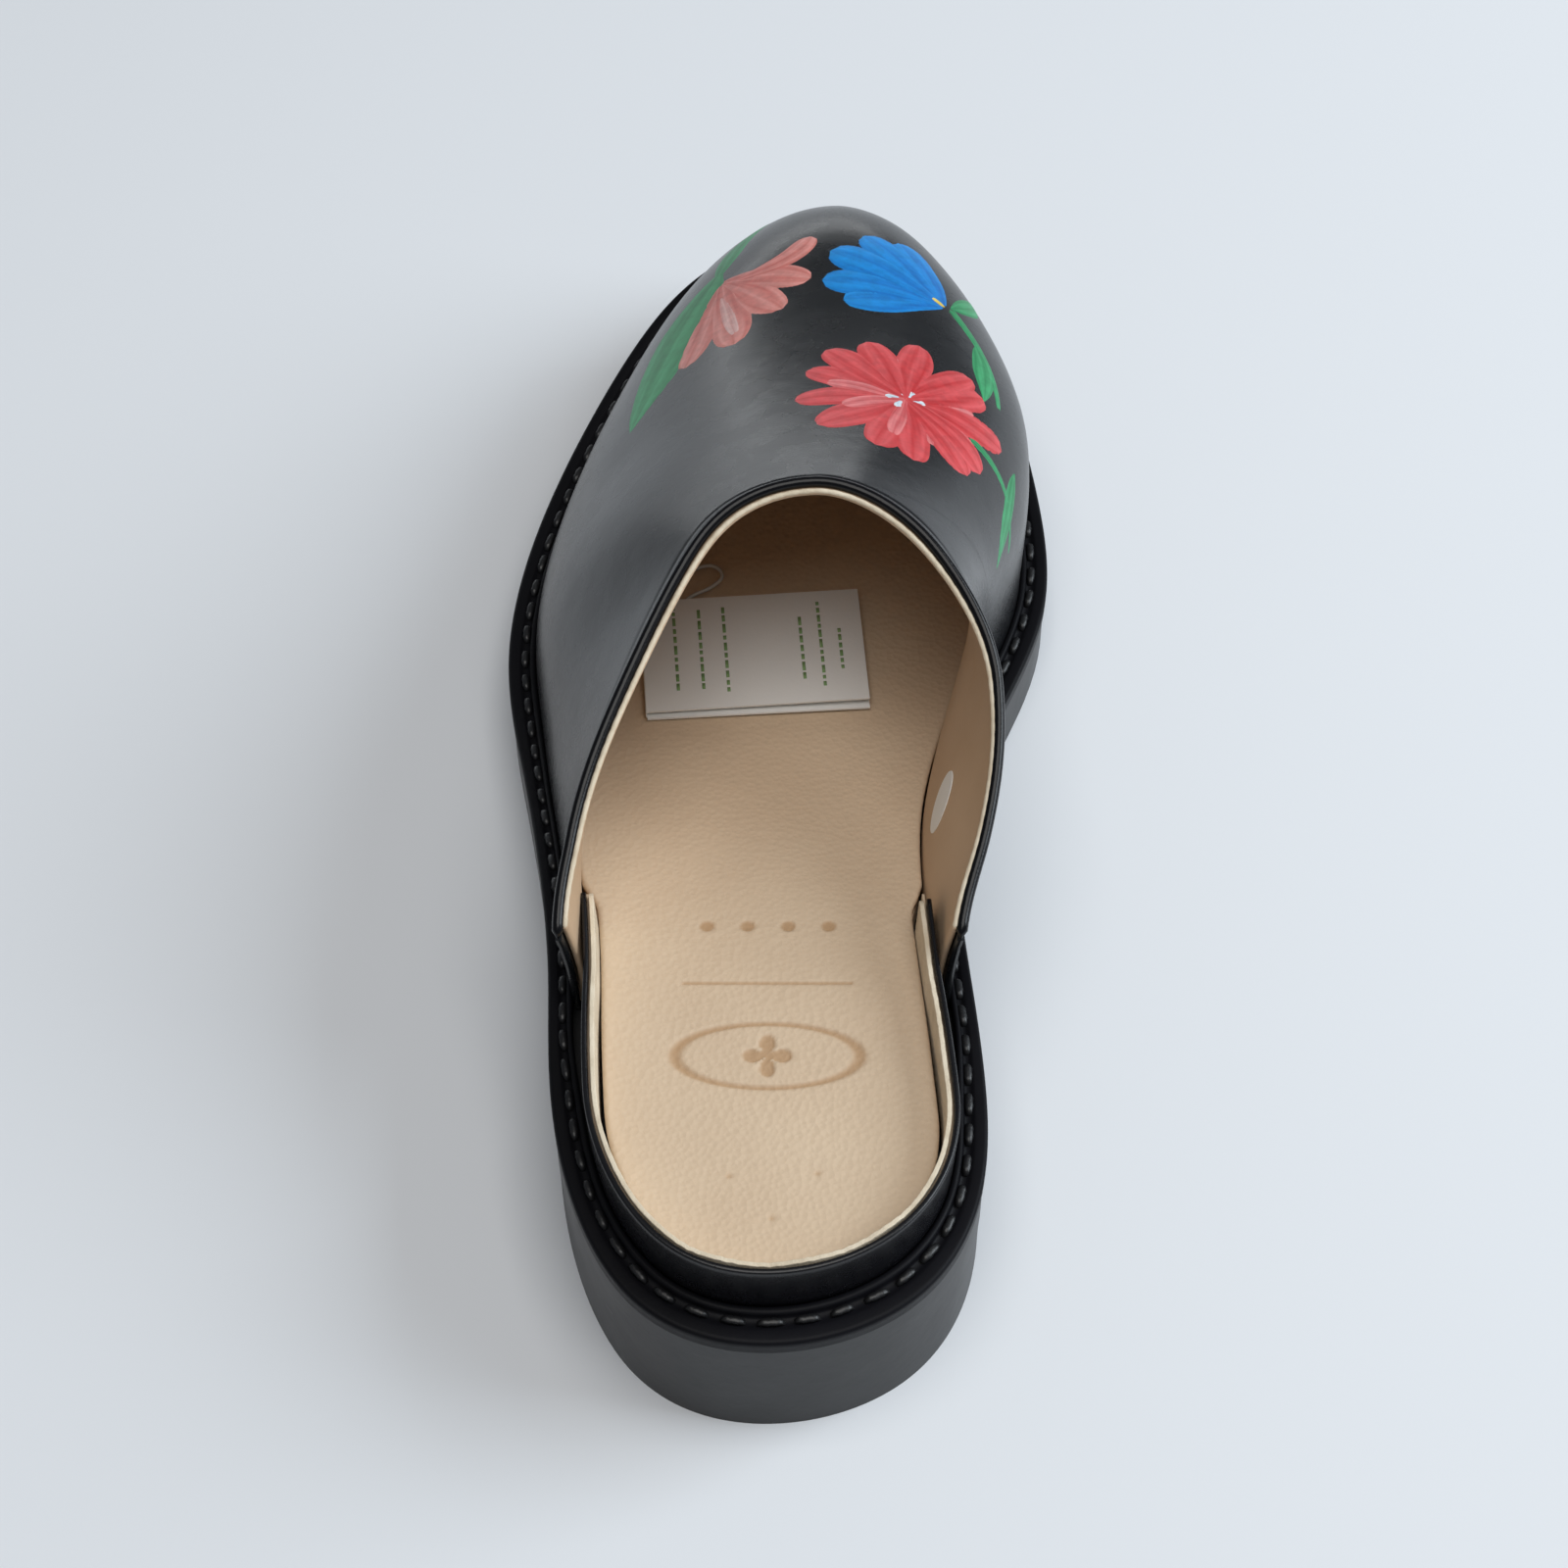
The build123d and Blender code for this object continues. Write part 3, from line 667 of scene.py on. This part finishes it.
def sock_piece():
    """The sock leather: a lipped edge, the pressed marks, and a light sheet for its underside."""
    line = inset(FEATHER + 2.7, bed_extra)
    lo, hi = min(p[1] for p in line) + 1e-3, max(p[1] for p in line) - 1e-3
    ys = [lo + (MARKS_FROM - lo) * math.sin(math.radians(90 * k / 16)) for k in range(16)]
    ys += [MARKS_FROM + (MARKS_TO - MARKS_FROM) * k / 200 for k in range(200)]
    ys += [MARKS_TO + (hi - MARKS_TO) * math.sin(math.radians(90 * k / 80)) for k in range(81)]
    cols = 140
    top, shades = [], []
    for y in ys:
        l, r = side_x(line, y)
        for j in range(cols + 1):
            u = -1 + 2 * j / cols
            u = 0.75 * u + 0.25 * math.sin(math.pi / 2 * u)
            x = (l + r) / 2 + (r - l) / 2 * u
            gap = min((r - l) / 2 * (1 - abs(u)), hi - y, y - lo)
            lip = LIP_HIGH * max(0.0, 1 - gap / LIP_WIDE) ** 2
            roll = ROLL_DEEP * max(0.0, 1 - gap / ROLL_WIDE) ** 2
            sunk = press(x, y) if MARKS_FROM < y < MARKS_TO else 0.0
            shades.append(sunk / PRESS_DEPTH)
            top.append((x, y, underside(y) + SOCK_H - SOCK_DROP + lip - roll - sunk))
    n, w = len(top), cols + 1
    rows = len(ys)
    low = []
    for i in range(rows):
        for x, y, _ in (top[i * w], top[i * w + cols]):
            low.append((x, y, underside(y) + SOCK_H - SOCK_FOOT))
    faces = grid_faces(rows, w) + grid_faces(rows, 2, n)
    for i in range(rows - 1):
        faces.append((i * w, (i + 1) * w, n + 2 * i + 2, n + 2 * i))
        faces.append((i * w + cols, n + 2 * i + 1, n + 2 * i + 3, (i + 1) * w + cols))
    first, last = end_caps(rows, w)
    faces += [first + (n + 1, n), last + (n + 2 * rows - 1, n + 2 * rows - 2)]
    ob = mesh_piece("sock_skin", top + low, faces, mat_sock, replace=("sock_liner",))
    point_colours(ob.data, "pressed", [(v, v, v) for v in shades])


sock_piece()


# ---------------------------------------------------------------- welt stitches
STITCH_PITCH, STITCH_LONG, STITCH_R = 6.0, 4.3, 0.78
STITCH_SINK, STITCH_ARCH = 0.42, 0.55


def stitches():
    """One twisted bar for the visible half of each lock stitch, its ends sunk in the groove."""
    pts = inset(STITCH_IN)
    gaps = [math.dist(p, q) for p, q in zip(pts, pts[1:] + pts[:1])]
    total = sum(gaps)
    count = round(total / STITCH_PITCH)
    steps, sides = 10, 8
    verts, faces = [], []

    def where(s):
        """The point s mm along the line."""
        s = s % total
        for g, p, q in zip(gaps, pts, pts[1:] + pts[:1]):
            if g >= s:
                return p[0] + (q[0] - p[0]) * s / g, p[1] + (q[1] - p[1]) * s / g
            s -= g
        return pts[0]

    for i in range(count):
        mid = (i + 0.5) * total / count + random.uniform(-0.15, 0.15)
        length = STITCH_LONG + random.uniform(-0.25, 0.25)
        lean = random.uniform(-0.12, 0.12)
        start = len(verts)
        for s in range(steps + 1):
            f = s / steps
            x, y = where(mid + (f - 0.5) * length)
            x2, y2 = where(mid + (f - 0.5) * length + 0.1)
            d = Vector((x2 - x, y2 - y, 0)).normalized()
            n = Vector((-d.y, d.x, 0))
            arch = math.sin(math.pi * f)
            rad = STITCH_R * (0.5 + 0.5 * arch ** 0.5)
            z = underside(y) + WELT_H - STITCH_SINK + STITCH_ARCH * min(1.0, arch * 1.8)
            c = Vector((x, y, z)) + n * (lean * (f - 0.5) * 2)
            for q in range(sides):
                a = 2 * math.pi * q / sides
                twist = 1 + 0.10 * math.cos(2 * (a + f * 9.0))
                height = Vector((0, 0, math.sin(a) * rad * 0.72 * twist))
                verts.append(tuple(c + n * (math.cos(a) * rad * twist) + height))
        faces += grid_faces(steps + 1, sides, start, False, True) + end_caps(steps + 1, sides, start)
    mesh_piece("thread_row", verts, faces, mat_thread, replace=("welt_stitches",))


stitches()

# ---------------------------------------------------------------- hang tag
TAG_W, TAG_D, CARD = 41.0, 27.5, 0.35
# the card leans as the sock does between these two y
LEAN_FROM, LEAN_TO = 8, 24
TAG_LEAN = math.atan((underside(LEAN_TO) - underside(LEAN_FROM)) / (LEAN_TO - LEAN_FROM))
TAG_TURN = math.radians(4)
TAG_X, TAG_Y, TAG_LIFT = -5.6, 16.4, 0.75
# how far the upper leaf is out of line with the lower one
SLIP_UPPER, SLIP_LOWER = 0.3, -0.5


def tag_point(u, v, lift):
    """u and v run over the card from its middle, lift is above the card's lower face."""
    x = u * math.cos(TAG_TURN) - v * math.sin(TAG_TURN)
    y = u * math.sin(TAG_TURN) + v * math.cos(TAG_TURN)
    z = lift * math.cos(TAG_LEAN) + y * math.sin(TAG_LEAN)
    y = y * math.cos(TAG_LEAN) - lift * math.sin(TAG_LEAN)
    return (TAG_X + x, TAG_Y + y, underside(TAG_Y) + SOCK_H + TAG_LIFT + z)


def upper_lift(u, v):
    """The upper leaf rises a little toward its free end and its rear corner."""
    f = (u + TAG_W / 2) / TAG_W
    return 1.15 + 0.45 * f + 0.35 * f * max(0.0, -v / TAG_D)


def lower_lift(u, _):
    """The lower leaf is a little bowed."""
    f = (u + TAG_W / 2) / TAG_W
    return 0.05 + 0.25 * f * (1 - f)


def leaf(name, lift, slip, replace=()):
    """One leaf of the card; lift(u, v) is its lower face."""
    nu, nv = 24, 16
    verts = []
    for side in (0, 1):
        for i in range(nu + 1):
            for j in range(nv + 1):
                u = -TAG_W / 2 + TAG_W * i / nu
                v = -TAG_D / 2 + TAG_D * j / nv
                verts.append(tag_point(u, v + slip, lift(u, v) + CARD * side))
    n = (nu + 1) * (nv + 1)
    faces = grid_faces(nu + 1, nv + 1) + grid_faces(nu + 1, nv + 1, n)
    w = nv + 1
    for i in range(nu):
        faces.append((i * w, (i + 1) * w, n + (i + 1) * w, n + i * w))
        faces.append((i * w + nv, (i + 1) * w + nv, n + (i + 1) * w + nv, n + i * w + nv))
    for j in range(nv):
        faces.append((j, j + 1, n + j + 1, n + j))
        faces.append((nu * w + j, nu * w + j + 1, n + nu * w + j + 1, n + nu * w + j))
    ob = mesh_piece(name, verts, faces, mat_card, body="tag", replace=replace)
    ob.data.polygons.foreach_set("use_smooth", [False] * len(ob.data.polygons))


leaf("tag_leaf_upper", upper_lift, SLIP_UPPER, ("hang_tag",))
leaf("tag_leaf_lower", lower_lift, SLIP_LOWER)


def fold_strip():
    """The rounded fold that joins the two leaves at their outer end."""
    rows, steps = 14, 8
    turns = [math.radians(90 + 180 * k / steps) for k in range(steps + 1)]
    verts = []
    for i in range(rows + 1):
        v = -TAG_D / 2 + TAG_D * i / rows
        for wide, high, order in ((0.3, 0.72, turns), (0.1, 0.40, turns[::-1])):
            verts += [tag_point(-TAG_W / 2 + wide * math.cos(a), v, 0.78 + high * math.sin(a)) for a in order]
    ring = 2 * (steps + 1)
    faces = grid_faces(rows + 1, ring, 0, False, True) + end_caps(rows + 1, ring)
    mesh_piece("tag_fold", verts, faces, mat_card, body="tag")


fold_strip()

# each row of dashes: its place along the card, and where it starts and ends across it
DASH_ROWS = ((-14.5, -9, 11), (-9.8, -9, 10), (-5.2, -10, 11), (9.0, -8, 8), (12.6, -10, 11), (16.2, -6, 4))
DASH_HALF, INK = 0.3, 0.03


def printed_rows():
    """Rows of plain dashes, in place of print."""
    verts, faces = [], []
    for u, start, end in DASH_ROWS:
        v = start
        while v < end:
            long = random.uniform(0.7, 2.2)
            k = len(verts)
            for du, dv in ((-DASH_HALF, 0), (DASH_HALF, 0), (DASH_HALF, long), (-DASH_HALF, long)):
                for lift in (0.0, INK):
                    uu, vv = u + du, v + dv
                    verts.append(tag_point(uu, vv + SLIP_UPPER, upper_lift(uu, vv) + CARD + lift))
            faces += [(k, k + 2, k + 4, k + 6), (k + 1, k + 3, k + 5, k + 7)]
            faces += [(k, k + 1, k + 3, k + 2), (k + 2, k + 3, k + 5, k + 4)]
            faces += [(k + 4, k + 5, k + 7, k + 6), (k + 6, k + 7, k + 1, k)]
            v += long + random.uniform(0.45, 0.8)
    mesh_piece("tag_dashes", verts, faces, mat_print, body="tag")


printed_rows()

# the nylon loop in plan, from one end between the leaves to the other, and its height above the sock
LOOP_PLAN = [(-23.5, 24.5), (-22.2, 29.5), (-20.2, 34.5), (-17.2, 38.6), (-13.2, 39.6),
             (-11.2, 36.4), (-14, 33.4), (-17.6, 31.4), (-19.6, 28), (-20.2, 24.5)]
LOOP_LIFT = [1.55, 1.5, 0.9, 0.6, 0.6, 0.6, 0.6, 0.9, 1.5, 1.55]


def tag_cord():
    """The nylon loop, one smooth curve whose ends are held between the leaves."""
    cu = bpy.data.curves.new("tag_nylon", "CURVE")
    cu.dimensions = "3D"
    sp = cu.splines.new("NURBS")
    sp.points.add(len(LOOP_PLAN) - 1)
    for pt, (x, y), lift in zip(sp.points, LOOP_PLAN, LOOP_LIFT):
        pt.co = (*P((x, y, underside(y) + SOCK_H + lift)), 1.0)
    sp.order_u = 3
    sp.use_endpoint_u = True
    sp.resolution_u = 12
    cu.bevel_depth = 0.00035
    cu.bevel_resolution = 4
    cu.materials.append(mat_nylon)
    ob = add_object("tag_nylon", cu)
    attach(ob, "tag")
    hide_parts("tag_loop")
    x, y = LOOP_PLAN[0]


tag_cord()


# ---------------------------------------------------------------- paint on the toe
def hit(ob):
    """A tree for finding places on the mesh of ob."""
    me = ob.data
    return BVHTree.FromPolygons([v.co for v in me.vertices], [tuple(p.vertices) for p in me.polygons])


skin = hit(vamp)
# the dark and the light tone of each paint
PINK = ((0.56, 0.12, 0.10), (0.80, 0.36, 0.32))
CORAL = ((0.50, 0.018, 0.022), (0.74, 0.12, 0.13))
ROSE = ((0.55, 0.05, 0.06), (0.80, 0.28, 0.28))
BLUSH = ((0.62, 0.26, 0.24), (0.84, 0.58, 0.55))
BLUE = ((0.001, 0.14, 0.50), (0.01, 0.31, 0.76))
GREEN = ((0.012, 0.21, 0.07), (0.07, 0.44, 0.19))
PALE = ((0.45, 0.62, 0.75), (0.85, 0.86, 0.86))
YELLOW = ((0.75, 0.52, 0.06), (0.85, 0.68, 0.18))
# the first layer's thickness, what each later one adds, and the depth of the brush marks
PAINT_THICK, PAINT_LAYER, BRISTLE = 0.05, 0.012, 0.02
# rays at the vamp start from this height
ABOVE = 120


def petal_width(f):
    """Narrow at the base, widest past the middle, with a round tip."""
    return 1.42 * (0.05 + 0.95 * f) ** 0.65 * math.sqrt(max(0.0, 1 - f ** 3.6))


def leaf_width(f):
    """Pointed at both ends."""
    return math.sin(math.pi * f ** 0.85) ** 0.9


def stem_width(f):
    """Thinner toward its end."""
    return 1.0 - 0.45 * f


class Paint:
    """Brush strokes that lie on the vamp, each a thin crowned sheet of paint."""

    def __init__(self, x, y):
        self.spot, normal, _, _ = skin.ray_cast(P((x, y, ABOVE)), Vector((0, 0, -1)))
        self.up = normal.normalized()
        self.right = (Vector((1, 0, 0)) - self.up * self.up.x).normalized()
        self.ahead = self.up.cross(self.right)
        self.verts, self.faces, self.shades = [], [], []
        self.layer = 0

    def walk(self, spot, normal, heading, dist):
        """A step of dist mm over the surface; returns the new place, normal and heading."""
        target = spot + heading * (dist / MM)
        new, up, _, _ = skin.find_nearest(target)
        if up.dot(normal) < 0:
            up = -up
        heading = (heading - up * heading.dot(up)).normalized()
        return new, up, heading

    def stroke(self, a, b, turn, long, wide, colours, curl=0.0, shape=petal_width):
        """A petal, leaf or stem from (a, b) mm off the middle, in the direction turn, in degrees."""
        n, m, layers = 24, 7, 7
        self.layer += 1
        lift = PAINT_THICK + PAINT_LAYER * (self.layer % layers)
        seed = random.uniform(0, 50)
        start = len(self.verts)
        dark, light = colours
        away = math.hypot(a, b)
        spot, up = self.spot, self.up
        if away > 0:
            first = (self.right * a + self.ahead * b).normalized()
            steps = 8
            for _ in range(steps):
                spot, up, first = self.walk(spot, up, first, away / steps)
        angle = math.radians(turn)
        heading = self.right * math.cos(angle) + self.ahead * math.sin(angle)
        heading = (heading - up * heading.dot(up)).normalized()
        for i in range(n + 1):
            f = i / n
            if i:
                bend = math.radians(curl) / n
                heading = heading * math.cos(bend) + up.cross(heading) * math.sin(bend)
                spot, up, heading = self.walk(spot, up, heading, long / n)
            side = up.cross(heading)
            half = max(0.05, wide / 2 * shape(f))
            for j in range(2 * m + 1):
                q = (j - m) / m
                across = q * half * (1 + 0.05 * math.sin(f * 9 + seed + q))
                point, normal, _ = self.walk(spot, up, side, across)
                drift = q * 7 + seed + 1.4 * math.sin(f * 5 + seed)
                streak = 0.5 + 0.3 * math.sin(drift) + 0.2 * math.sin(q * 17 + 5 * f + seed * 2)
                height = lift * (1 - abs(q) ** 4) * (1 - abs(2 * f - 1) ** 12)
                height = height + BRISTLE * streak - BRISTLE
                self.verts.append(point + normal * (height / MM))
                blend = min(1.0, max(0.0, 0.2 + 0.4 * f + 0.75 * (streak - 0.5)))
                self.shades.append([dark[k] + (light[k] - dark[k]) * blend for k in range(3)])
        self.faces += grid_faces(n + 1, 2 * m + 1, start)

    def piece(self, name):
        me = bpy.data.meshes.new(name)
        me.from_pydata(self.verts, [], self.faces)
        me.polygons.foreach_set("use_smooth", [True] * len(me.polygons))
        point_colours(me, "shade", self.shades)
        me.materials.append(mat_paint)
        ob = add_object(name, me)
        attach(ob, "shoe")


def tulip():
    """A simple cup of five petals, seen from the side."""
    p = Paint(19, 84)
    petals = ((106, 21, 8.5, 14), (204, 21, 8.5, -14), (128, 24, 9.5, 6), (181, 24, 9.5, -6),
              (154, 25, 10.5, 0))
    for turn, long, wide, curl in petals:
        p.stroke(12, -5, turn, long, wide, BLUE, curl)
    p.stroke(12.4, -5.2, 150, 3.2, 1.6, YELLOW)
    p.piece("painted_tulip")


def daisy():
    """Two rounds of petals round a pale centre."""
    p = Paint(22, 41)
    outer, inner, middle = 13, 9, 6
    for k in range(outer):
        turn = 360 / outer * k + random.uniform(-5, 5)
        long, wide = random.uniform(19.5, 22), random.uniform(7.4, 8.4)
        p.stroke(0, 0, turn, long, wide, CORAL, random.uniform(-9, 9))
    for k in range(inner):
        turn = 360 / inner * k + 12 + random.uniform(-6, 6)
        long, wide = random.uniform(12, 16), random.uniform(4.2, 5.4)
        p.stroke(0, 0, turn, long, wide, ROSE, random.uniform(-8, 8))
    for k in range(middle):
        p.stroke(1.1 * math.cos(k), 1.1 * math.sin(k), 60 * k, 2.9, 2.4, PALE, 30)
    p.piece("painted_daisy")


def lily():
    """Four broad petals falling to one side, a curled one and a pale stroke over them."""
    p = Paint(-6, 80)
    petals = ((-104, 27, 8.5, -4), (-32, 21, 8.0, 10), (-58, 23, 8.5, 6), (-82, 27, 9.0, 0))
    for turn, long, wide, curl in petals:
        p.stroke(-7, 10, turn, long, wide, PINK, curl)
    p.stroke(-4, 8, -22, 20, 6.0, PINK, 95)
    p.stroke(-7, 5, -80, 19, 4.2, BLUSH, 4)
    p.piece("painted_lily")


def leaves():
    """A broad leaf on the outer side, stems and small leaves on the inner side."""
    p = Paint(-20, 74)
    p.stroke(10, 20, 236, 47, 17.0, GREEN, 12, leaf_width)
    p.piece("painted_leaf_outer")
    p = Paint(-12, 93)
    p.stroke(-1, -1, 78, 24, 6.4, GREEN, -26, leaf_width)
    p.piece("painted_leaf_tip")
    p = Paint(36, 66)
    p.stroke(-5, 12, -52, 30, 2.2, GREEN, -34, stem_width)
    p.stroke(0, 2, -72, 19, 5.2, GREEN, -26, leaf_width)
    p.stroke(-5, 12, 40, 17, 5.0, GREEN, 40, leaf_width)
    p.piece("painted_stem_inner")
    p = Paint(38, 34)
    p.stroke(-6, 2, -24, 24, 1.9, GREEN, -20, stem_width)
    p.stroke(8, 3, -98, 22, 5.0, GREEN, 20, leaf_width)
    p.piece("painted_stem_low")


tulip()
daisy()
lily()
leaves()

# ---------------------------------------------------------------- floor, light, camera
floor_mat, _, floor_look = tree("studio_floor")
floor_look.inputs["Base Color"].default_value = (0.76, 0.785, 0.82, 1)
floor_look.inputs["Roughness"].default_value = 0.9
bpy.ops.mesh.primitive_plane_add(size=6.0, location=(0, 0, 0))
floor = bpy.context.object
floor.name = "studio_floor"
floor.data.materials.append(floor_mat)

world = bpy.data.worlds.new("studio")
bpy.context.scene.world = world
world.use_nodes = True
sky = world.node_tree.nodes["Background"]
sky.inputs["Color"].default_value = (0.86, 0.92, 1.0, 1)
sky.inputs["Strength"].default_value = 0.14

LIT_SPOT = Vector((0, 0, 0.03))


def area_light(name, loc, size, power, colour):
    """A rectangular light that faces the shoe."""
    data = bpy.data.lights.new(name, "AREA")
    data.shape = "RECTANGLE"
    data.size, data.size_y = size
    data.energy = power
    data.color = colour
    ob = add_object(name, data)
    ob.location = loc
    ob.rotation_euler = (LIT_SPOT - Vector(loc)).to_track_quat("-Z", "Y").to_euler()


area_light("window", (1.5, 0.15, 1.05), (1.3, 1.1), 26, (0.86, 0.94, 1.0))
area_light("ceiling", (0.1, -0.5, 2.3), (1.8, 1.8), 32, (1.0, 0.98, 0.95))
area_light("front_wall", (-0.5, 2.0, 0.10), (2.2, 0.18), 4.2, (0.95, 0.98, 1.0))

bpy.context.scene.view_settings.view_transform = "Standard"

cam_data = bpy.data.cameras.new("camera")
cam_data.sensor_width = 36.0
cam_data.lens = 81.4
CAM_AIM, CAM_AWAY, CAM_DOWN = P((0.0, -9.26, 15.0)), 0.65, math.radians(52)
cam = add_object("camera", cam_data)
cam.location = CAM_AIM + Vector((0, -math.cos(CAM_DOWN), math.sin(CAM_DOWN))) * CAM_AWAY
cam.rotation_euler = (math.radians(90) - CAM_DOWN, 0, 0)
bpy.context.scene.camera = cam
